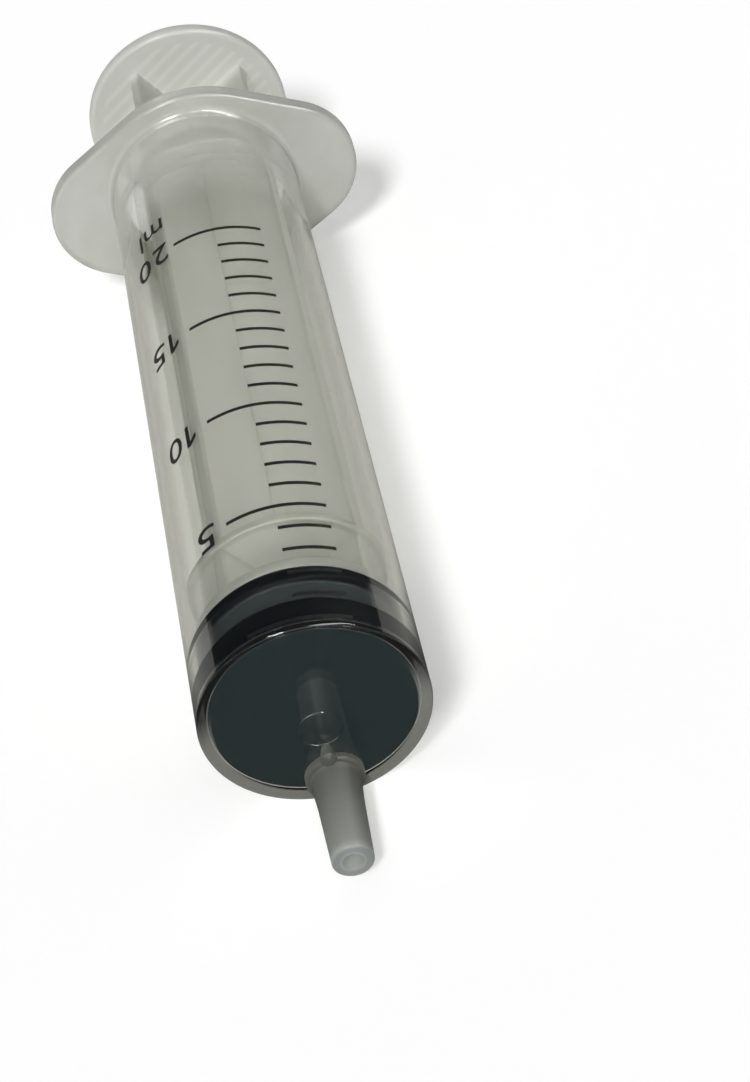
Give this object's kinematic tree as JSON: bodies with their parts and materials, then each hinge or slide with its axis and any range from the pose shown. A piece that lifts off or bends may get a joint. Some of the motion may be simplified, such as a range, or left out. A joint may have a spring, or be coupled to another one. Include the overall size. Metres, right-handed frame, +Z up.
{
  "type": "slip tip syringe",
  "caption": "Clear plastic syringe with an off-centre slip nozzle, winged finger flange, printed scale, black rubber stopper and a cross-ribbed plunger with a round thumb rest.",
  "frame": {"origin": "middle of the syringe's bounding box, on the surface that it lies on", "axes": "+X from the nozzle towards the thumb rest, +Z up with the scale on top, +Y to the left when looking along +X. The syringe's own axis rises by 1.43 degrees towards +X, because it lies on its flange and on the front edge of its barrel."},
  "size_m": [0.121, 0.0368, 0.0264],
  "materials": {
    "clear_polypropylene": "clear moulded polypropylene, glossy, slightly hazy",
    "black_ink": "matt black printed ink",
    "black_rubber": "smooth black rubber with a thin film of silicone oil",
    "natural_polypropylene": "milky natural polypropylene, satin gloss"
  },
  "bodies": {
    "barrel_body": {"barrel": "clear_polypropylene", "scale_marks": "black_ink"},
    "stopper_body": {"stopper": "black_rubber"},
    "plunger_body": {"plunger_rod": "natural_polypropylene"}
  },
  "joints": [
    {"name": "stopper_slide", "type": "slide", "parent": "barrel_body", "child": "stopper_body", "axis": [0.9997, 0, 0.0249], "range_m": [0, 0.0662]},
    {"name": "rod_turn", "type": "hinge", "parent": "stopper_body", "child": "plunger_body", "pos_m": [-0.04931, 0, 0.01094], "axis": [0.9997, 0, 0.0249], "continuous": true}
  ]
}
